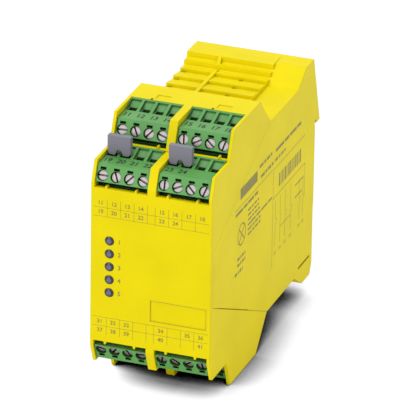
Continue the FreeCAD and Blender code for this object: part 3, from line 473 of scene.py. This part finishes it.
# %% Dress the solids
slot_of = {part["node"]: part["material_slot"] for part in frame["record"]["subparts"]}
for name, piece in nodes.items():
    finish = FINISHES[slot_of[name]]
    if not piece.material_slots:
        piece.data.materials.append(finish)
    for place in piece.material_slots:
        place.material = finish
print("dressed:", len(nodes))

# %% [markdown]
# The foot's spring is squeezed when the foot is pulled down, and a rigid solid can't show
# that. It could be rebuilt as a curve, but the solid's own mesh is right at rest. So a copy
# of that mesh stands in for it, and the solid is hidden.

# %% Foot spring
solid = nodes["foot_spring"]
coil_mesh = solid.data.copy()
coil_mesh.transform(solid.matrix_world)
coil = bpy.data.objects.new("squeezed_foot_spring", coil_mesh)
bpy.context.collection.objects.link(coil)
low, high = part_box("foot_spring")
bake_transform(coil)
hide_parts("foot_spring")
print("spring", round((high[2] - low[2]) / MM, 1), "mm long at rest")

# %% [markdown]
# The print on the module is pad-printed ink, about 0.02 mm thick: thin rules, short bars in
# place of words, and plain numbers. It could be painted in the plastic's material, but each
# rule must sit on an exact place of its face, so the ink is thin meshes of their own. They
# are drawn in millimetres on a flat face, and one matrix lays a face's drawing on the model.

# %% A face to print on
INK_LIFT = 0.02 * MM


def on_face(corner, across, up):
    """Matrix from millimetres on a face to the model: across and up are unit vectors."""
    across, up = Vector(across).normalized(), Vector(up).normalized()
    out = across.cross(up)
    lifted = Vector(corner) + out * INK_LIFT
    turned = Matrix((across, up, out)).transposed().to_4x4()
    return Matrix.Translation(lifted) @ turned @ Matrix.Scale(MM, 4)


shell_low, shell_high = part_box("front_housing")
face_front = shell_low[1]
front_face = on_face((0, face_front, 0), (1, 0, 0), (0, 0, 1))
flank_face = on_face((shell_high[0], face_front, 0), (0, 1, 0), (0, 0, 1))
print("ink lies", INK_LIFT / MM, "mm above its face")

# %% [markdown]
# A printing plate has only a few kinds of mark: a bar, a rule and a ring. Curves with a
# width could draw them, but each would be an object to convert. Here a mark is a list of
# corners in millimetres, and a ring is a row of short rules, as fine as it needs to look.

# %% Bars, rules and rings
FINE_RULE = 0.12


def bar(left, low, right, high):
    """An upright rectangle."""
    return [(left, low), (right, low), (right, high), (left, high)]


def rule(start, end, width=FINE_RULE):
    """A straight line between two points."""
    along = (Vector(end) - Vector(start)).normalized()
    side = Vector((-along.y, along.x)) * width / 2
    return [tuple(Vector(point) + offset) for point, offset in
            ((start, -side), (end, -side), (end, side), (start, side))]


def ring(across, up, radius, width, parts):
    """A ring of short rules around a point."""
    points = [(across + radius * math.cos(turn), up + radius * math.sin(turn))
              for turn in (step * math.tau / parts for step in range(parts + 1))]
    return [rule(start, end, width) for start, end in zip(points, points[1:])]


print("a fine rule is", FINE_RULE, "mm wide")

# %% [markdown]
# Terminal numbers are plain upright figures. Drawing them by hand would take dozens of
# points each, so they come from Blender's own font as a text curve, which is turned into
# flat faces and added to a drawing. The strokes are swelled a little, because pad ink
# spreads as it is pressed on.

# %% Numbers
FONT_SIZE_PER_HEIGHT = 1.4
INK_SPREAD = 0.03


def add_number(drawing, text, across, up, height, width):
    """Adds a number around a point; its width is a share of the font's own."""
    curve = bpy.data.curves.new("number", "FONT")
    curve.body = text
    curve.size = height * FONT_SIZE_PER_HEIGHT
    curve.offset = INK_SPREAD * height
    curve.align_x = "CENTER"
    curve.align_y = "CENTER"
    holder = bpy.data.objects.new("number", curve)
    figures = bpy.data.meshes.new_from_object(holder)
    figures.transform(Matrix.Translation((across, up, 0)) @ Matrix.Scale(width, 4, (1, 0, 0)))
    drawing.from_mesh(figures)
    bpy.data.objects.remove(holder)
    bpy.data.curves.remove(curve)
    bpy.data.meshes.remove(figures)


print("font size", FONT_SIZE_PER_HEIGHT, "times the height of a figure")

# %% [markdown]
# A face is printed with one press of the pad, so a whole drawing is one piece here. Each
# mark could be an object of its own, but hundreds of small objects are slow and hard to
# find. The piece rides on the body that it is printed on, and moves with it.

# %% Lay the ink
def lay_ink(name, face, material, body, marks, numbers=()):
    """One thin mesh of marks and numbers on a face, which rides on the face's body."""
    drawing = bmesh.new()
    for mark in marks:
        drawing.faces.new([drawing.verts.new((x, y, 0)) for x, y in mark])
    for number in numbers:
        add_number(drawing, *number)
    mesh = bpy.data.meshes.new(name)
    drawing.to_mesh(mesh)
    drawing.free()
    mesh.transform(face)
    mesh.materials.append(material)
    piece = bpy.data.objects.new(name, mesh)
    bpy.context.collection.objects.link(piece)
    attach(piece, body)


# %% [markdown]
# Pad ink is matt, and a soft silicone pad leaves it a little uneven. One flat colour would
# look cut from paper, so a noise with spots of 1.2 mm makes it thinner here and there.

# %% Pad inks
INK_SPOT_MM = 1.2
INK_ROUGHNESS = 0.6


def pad_ink(name, colour):
    """Printed ink: matt, and paler where the pad left less of it."""
    material, tree, output = new_material(name)
    place = add_node(tree, "TexCoord").outputs["Object"]
    spots = add_node(tree, "TexNoise", {"Vector": place, "Scale": 1 / (INK_SPOT_MM * MM), "Detail": 3.0})
    cover = add_node(tree, "ValToRGB", {"Fac": spots.outputs["Fac"]},
                     stops=[(0.3, linear(colour)), (0.8, toned(colour, 1.5, lift=0.01))])
    shader = add_node(tree, "BsdfPrincipled", {"Base Color": cover.outputs["Color"],
                                               "Roughness": INK_ROUGHNESS})
    tree.links.new(shader.outputs[0], output.inputs["Surface"])
    return material


# Olive brown: thin ink through which the yellow shows.
FACE_INK = pad_ink("brown_grey_pad_ink", "#94852A")
# The same ink on the flank, painted a little greyer and darker as painted shade, since the flank lies in
# shade.
SHADED_FLANK_INK = pad_ink("pad_ink_in_painted_shade", "#857C38")
# Thick black that covers the green, for figures to be read at arm's length.
BLACK_INK = pad_ink("black_pad_ink", "#141612")
print("inks:", FACE_INK.name, SHADED_FLANK_INK.name, BLACK_INK.name)

# %% [markdown]
# The face has a ruled table under the upper terminals and one above the lower ones. A
# picture of a table would blur when seen close. Ruled from the plugs' own places, each cell
# stands over its terminal at the plugs' 5 mm pitch, with a narrower cell over the divider.
# A cell is empty where nothing is wired.

# %% Tables on the face
POLE_PITCH = 5.0
POLES = 4
RULE_OVERHANG = 0.2
CELL_FIGURE = 1.55
# Limits of the rows, from the top down, over the middle of the face.
UPPER_LEVELS = (25.7, 22.3, 18.9)
LOWER_LEVELS = (-20.15, -23.6, -27.0)


def pole_places(middle):
    """Places across of the poles of one plug."""
    return [middle + (step - (POLES - 1) / 2) * POLE_PITCH for step in range(POLES)]


poles = []
for hand in ("left", "right"):
    low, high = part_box("plug_top_front_" + hand)
    poles += pole_places((low[0] + high[0]) / 2 / MM)
edges = sorted({round(pole + side * POLE_PITCH / 2, 3) for pole in poles for side in (-1, 1)})


def table(levels, ruled, first_number, empty):
    """Marks and numbers of a table; empty cells are pairs of a row and a pole."""
    left, right = edges[0] - RULE_OVERHANG, edges[-1] + RULE_OVERHANG
    marks = [rule((left, level), (right, level)) for level in ruled]
    marks += [rule((edge, levels[-1]), (edge, levels[0])) for edge in edges[1:-1]]
    filled = [(pole, (low + high) / 2) for row, (high, low) in enumerate(zip(levels, levels[1:]))
              for index, pole in enumerate(poles) if (row, index) not in empty]
    numbers = [(str(first_number + count), pole, middle, CELL_FIGURE, 1.0)
               for count, (pole, middle) in enumerate(filled)]
    return marks, numbers


marks, numbers = table(UPPER_LEVELS, UPPER_LEVELS[1:], 11, empty=[(1, 6), (1, 7)])
lay_ink("upper_table", front_face, FACE_INK, "root", marks, numbers)
marks, numbers = table(LOWER_LEVELS, LOWER_LEVELS[:2], 31,
                       empty=[(0, 3), (1, 3), (0, 5), (1, 5), (1, 6)])
lay_ink("lower_table", front_face, FACE_INK, "root", marks, numbers)
print("cells per row:", len(poles), "edges", edges)

# %% [markdown]
# A small number stands beside each status lamp. The lamps are one solid of five lenses, so
# their spacing is worked out from that solid's box: the numbers then stay beside the lamps
# when the lamps move in the CAD model, which figures placed by eye would not.

# %% Lamp numbers
LAMPS = 5
LAMP_TO_NUMBER = 3.7
LAMP_FIGURE = 1.7

low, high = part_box("status_lenses")
lamp_across = (low[0] + high[0]) / 2 / MM
lamp_size = (high[0] - low[0]) / MM
lamp_top = high[2] / MM
lamp_pitch = (lamp_top - low[2] / MM - lamp_size) / (LAMPS - 1)
numbers = [(str(step + 1), lamp_across + LAMP_TO_NUMBER, lamp_top - lamp_size / 2 - step * lamp_pitch,
            LAMP_FIGURE, 1.0) for step in range(LAMPS)]
lay_ink("lamp_numbers", front_face, FACE_INK, "root", [], numbers)
print("lamp pitch", round(lamp_pitch, 2), "mm")

# %% [markdown]
# Below the lamps is a field for writing on, framed by a fine rule. The frame could be a
# curve with a width, but four rules keep the corners square and the ink flat.

# %% Writing field
# Left, low, right and high, from the middle of the face.
FIELD = bar(0.0, -18.6, 20.9, -10.6)
sides = [rule(start, end) for start, end in zip(FIELD, FIELD[1:] + FIELD[:1])]
lay_ink("field_frame", front_face, FACE_INK, "root", sides)
print("field corners in mm:", FIELD)

# %% [markdown]
# The flat strip on each plug carries the terminal numbers in black, larger than those on
# the face and a little narrowed. A plug is pulled out with its numbers on it, so the ink
# rides on the plug's body and not on the shell. The lower plugs are the same part turned
# upside down, and so is their print.

# %% Plug numbers
# The strip lies under the plug's top, its front edge lies ahead of the plug's back, and the
# figures stand behind that edge.
STRIP_DROP = 2.0
STRIP_FRONT = 14.2
STRIP_MIDDLE = 3.5
PLUG_FIGURE = 3.0
NARROWED = 0.75
FIRST_AND_COUNT = {
    "top_rear_left": (11, 4), "top_rear_right": (15, 4),
    "top_front_left": (19, 4), "top_front_right": (23, 2),
    "bottom_front_left": (31, 4), "bottom_front_right": (35, 4),
    "bottom_rear_left": (39, 4), "bottom_rear_right": (43, 4),
}

for name, (first, count) in FIRST_AND_COUNT.items():
    low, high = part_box("plug_" + name)
    upright = name.startswith("top")
    strip = high[2] - STRIP_DROP * MM if upright else low[2] + STRIP_DROP * MM
    corner = ((low[0] + high[0]) / 2, high[1] - STRIP_FRONT * MM, strip)
    strip_face = on_face(corner, (1 if upright else -1, 0, 0), (0, 1, 0))
    numbers = [(str(first + step), pole, STRIP_MIDDLE, PLUG_FIGURE, NARROWED)
               for step, pole in zip(range(count), pole_places(0.0))]
    lay_ink("numbers_" + name, strip_face, BLACK_INK, name + "_plug", [], numbers)
print("numbered plugs:", len(FIRST_AND_COUNT))

# %% [markdown]
# The right flank carries the data print. Its words are left out: a row of bars, broken
# where words would end, gives the grey texture of small print. Real letters would be too
# fine to read here in any case. Places are depths behind the face and heights from its
# middle, in millimetres. The head has rules, a plain block and four rows.

# %% Head of the flank print
FLANK_RULE = 0.25
WORD_SHARES = (0.34, 0.2, 0.28, 0.18)
WORD_GAP = 0.8


def word_row(left, top, length, height):
    """A row of bars in place of a line of words."""
    ends = [left]
    for share in WORD_SHARES:
        ends.append(ends[-1] + length * share)
    return [bar(start, top - height, stop - WORD_GAP, top) for start, stop in zip(ends, ends[1:])]


HEAD_RULES = [((24.5, 17.0), (63.3, 17.0)), ((64.5, 16.6), (98.5, 16.6)), ((64.5, 16.6), (64.5, -21.7)),
              ((99.0, 5.2), (99.0, -8.0)), ((64.5, 5.2), (99.0, 5.2))]
PLAIN_BLOCK = bar(29.6, 19.5, 47.3, 23.7)
# A row is its left end, its top, its length and its height.
HEAD_ROWS = [(49.5, 24.6, 14, 1.2), (51.0, 20.2, 14, 1.2), (66.7, 23.9, 28, 1.2), (66.0, 20.2, 12, 1.0)]

head = [rule(start, end, FLANK_RULE) for start, end in HEAD_RULES] + [PLAIN_BLOCK]
for row in HEAD_ROWS:
    head += word_row(*row)
lay_ink("flank_frame", flank_face, SHADED_FLANK_INK, "root", head)
print("marks in the head:", len(head))

# %% [markdown]
# Under the head is a striped block, which stands for no code at all. A striped texture
# would need its own place and scale. A loop over a few stripe widths puts each bar after
# the last one.

# %% Striped block
STRIPE_WIDTHS = (1.2, 0.5, 0.9, 0.5, 1.4, 0.5, 0.9, 1.4, 0.5, 0.9, 0.5, 1.2, 0.9, 0.5, 1.4)
STRIPE_GAP = 0.75
BLOCK_START, BLOCK_LOW, BLOCK_HIGH = 70.7, 7.6, 12.8

stripes = []
place = BLOCK_START
for width in STRIPE_WIDTHS:
    stripes.append(bar(place, BLOCK_LOW, place + width, BLOCK_HIGH))
    place += width + STRIPE_GAP
lay_ink("flank_code", flank_face, SHADED_FLANK_INK, "root", stripes)
print("striped block ends at", round(place - STRIPE_GAP, 1), "mm")

# %% [markdown]
# The left half of the print is small rows for ratings: one long row, a group of six, and
# three short ones at the foot. They are made as the head's rows are, from the place, the
# length and the height of each.

# %% Rows of the flank print
LONG_ROW = (25.0, 15.6, 24, 1.1)
GROUP_LEFT, GROUP_TOP, GROUP_PITCH, GROUP_HEIGHT = 38.0, 12.4, 1.9, 0.8
GROUP_LENGTHS = (12, 12, 13, 26, 14, 14)
FOOT_ROWS = [(27.5, -2.4, 9, 1.2), (27.5, -4.8, 9, 1.2), (25.0, -7.6, 9, 1.2)]

rows = word_row(*LONG_ROW)
for step, length in enumerate(GROUP_LENGTHS):
    rows += word_row(GROUP_LEFT, GROUP_TOP - step * GROUP_PITCH, length, GROUP_HEIGHT)
for row in FOOT_ROWS:
    rows += word_row(*row)
lay_ink("flank_rows", flank_face, SHADED_FLANK_INK, "root", rows)
print("bars in the rows:", len(rows))

# %% [markdown]
# The right half is the outline of a wiring drawing: six lines, each with an open contact
# and a short row under it, and three links across. In the left half is the crossed ring
# that stands for a lamp in such drawings. They could be traced point by point, but a line
# is the same three rules each time, so a loop draws it, its contact a little lower from one
# line to the next.

# %% Wiring drawing
HEAVY_RULE = 0.5
# Each line has its place across and its top.
LINES = [(67.5, 3.4), (72.7, 3.4), (78.0, 3.4), (84.0, 3.4), (93.4, 1.2), (97.4, 1.2)]
LINKS = [((72.7, -9.0), (84.0, -9.0), FLANK_RULE), ((88.5, 0.4), (97.4, 0.4), HEAVY_RULE),
         ((88.5, -4.4), (96.0, -4.4), HEAVY_RULE)]
FIRST_LINE = LINES[0][0]
FIRST_CONTACT = -4.0
CONTACT_SLOPE = 10
CONTACT_GAP = 2.6
LEVER_REACH = 1.4
LEVER_RISE = 0.2
LINE_FOOT = -15.0
LABEL_SHIFT, LABEL_TOP, LABEL_LENGTH, LABEL_HEIGHT = 1.2, -16.6, 2.6, 1.3
RING_ACROSS, RING_UP, RING_RADIUS, RING_PARTS = 31.6, 5.6, 4.0, 20
CROSS_REACH = 2.8

drawing = []
for across, top in LINES:
    contact = FIRST_CONTACT - (across - FIRST_LINE) / CONTACT_SLOPE
    hinge = (across, contact - CONTACT_GAP)
    drawing += [rule((across, top), (across, contact), FLANK_RULE),
                rule(hinge, (across, LINE_FOOT), FLANK_RULE),
                rule(hinge, (across + LEVER_REACH, contact + LEVER_RISE), FLANK_RULE)]
    drawing += word_row(across - LABEL_SHIFT, LABEL_TOP, LABEL_LENGTH, LABEL_HEIGHT)
drawing += [rule(*link) for link in LINKS]
drawing += ring(RING_ACROSS, RING_UP, RING_RADIUS, HEAVY_RULE, RING_PARTS)
for slant in (1, -1):
    drawing.append(rule((RING_ACROSS - CROSS_REACH, RING_UP - slant * CROSS_REACH),
                        (RING_ACROSS + CROSS_REACH, RING_UP + slant * CROSS_REACH), HEAVY_RULE))
lay_ink("flank_drawing", flank_face, SHADED_FLANK_INK, "root", drawing)
print("marks on the flank:", len(head) + len(stripes) + len(rows) + len(drawing))

# %% [markdown]
# One thing is left. The Standard view shows a colour as it was written, where a film-like
# view would grey the yellow.

# %% Finish
bpy.context.scene.view_settings.view_transform = "Standard"
